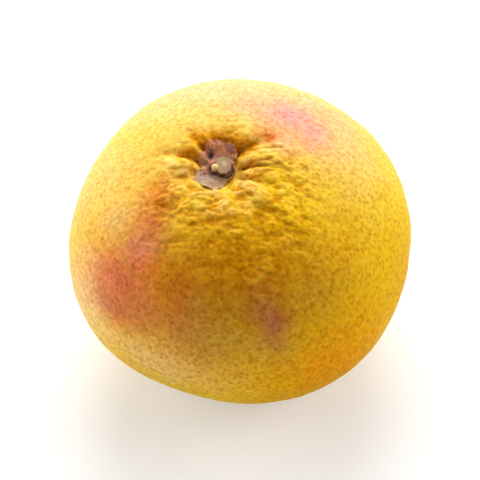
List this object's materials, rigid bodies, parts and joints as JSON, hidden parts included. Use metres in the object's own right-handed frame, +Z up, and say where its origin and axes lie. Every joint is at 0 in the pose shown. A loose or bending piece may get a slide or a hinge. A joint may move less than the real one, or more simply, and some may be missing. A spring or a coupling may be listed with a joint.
{
  "type": "grapefruit",
  "caption": "Whole ripe grapefruit, a little flattened, with a folded stem pit, dried calyx and cut stalk stub, resting upright on its blossom end.",
  "frame": {"origin": "on the surface the fruit rests on, under the middle of the fruit, within the flat spot at its blossom end", "axes": "+Z up from the blossom end to the stem end; the stem pit lies off the middle towards -X"},
  "size_m": [0.111, 0.1122, 0.0852],
  "materials": {
    "peel": null,
    "dried_calyx": "matte dried calyx, mauve brown to grey, papery at its lobes",
    "cut_stalk": "matte dry cut wood, tan to cream"
  },
  "bodies": {
    "root": {"fruit": "peel", "calyx": "dried_calyx", "stem_stub": "cut_stalk"}
  },
  "joints": []
}
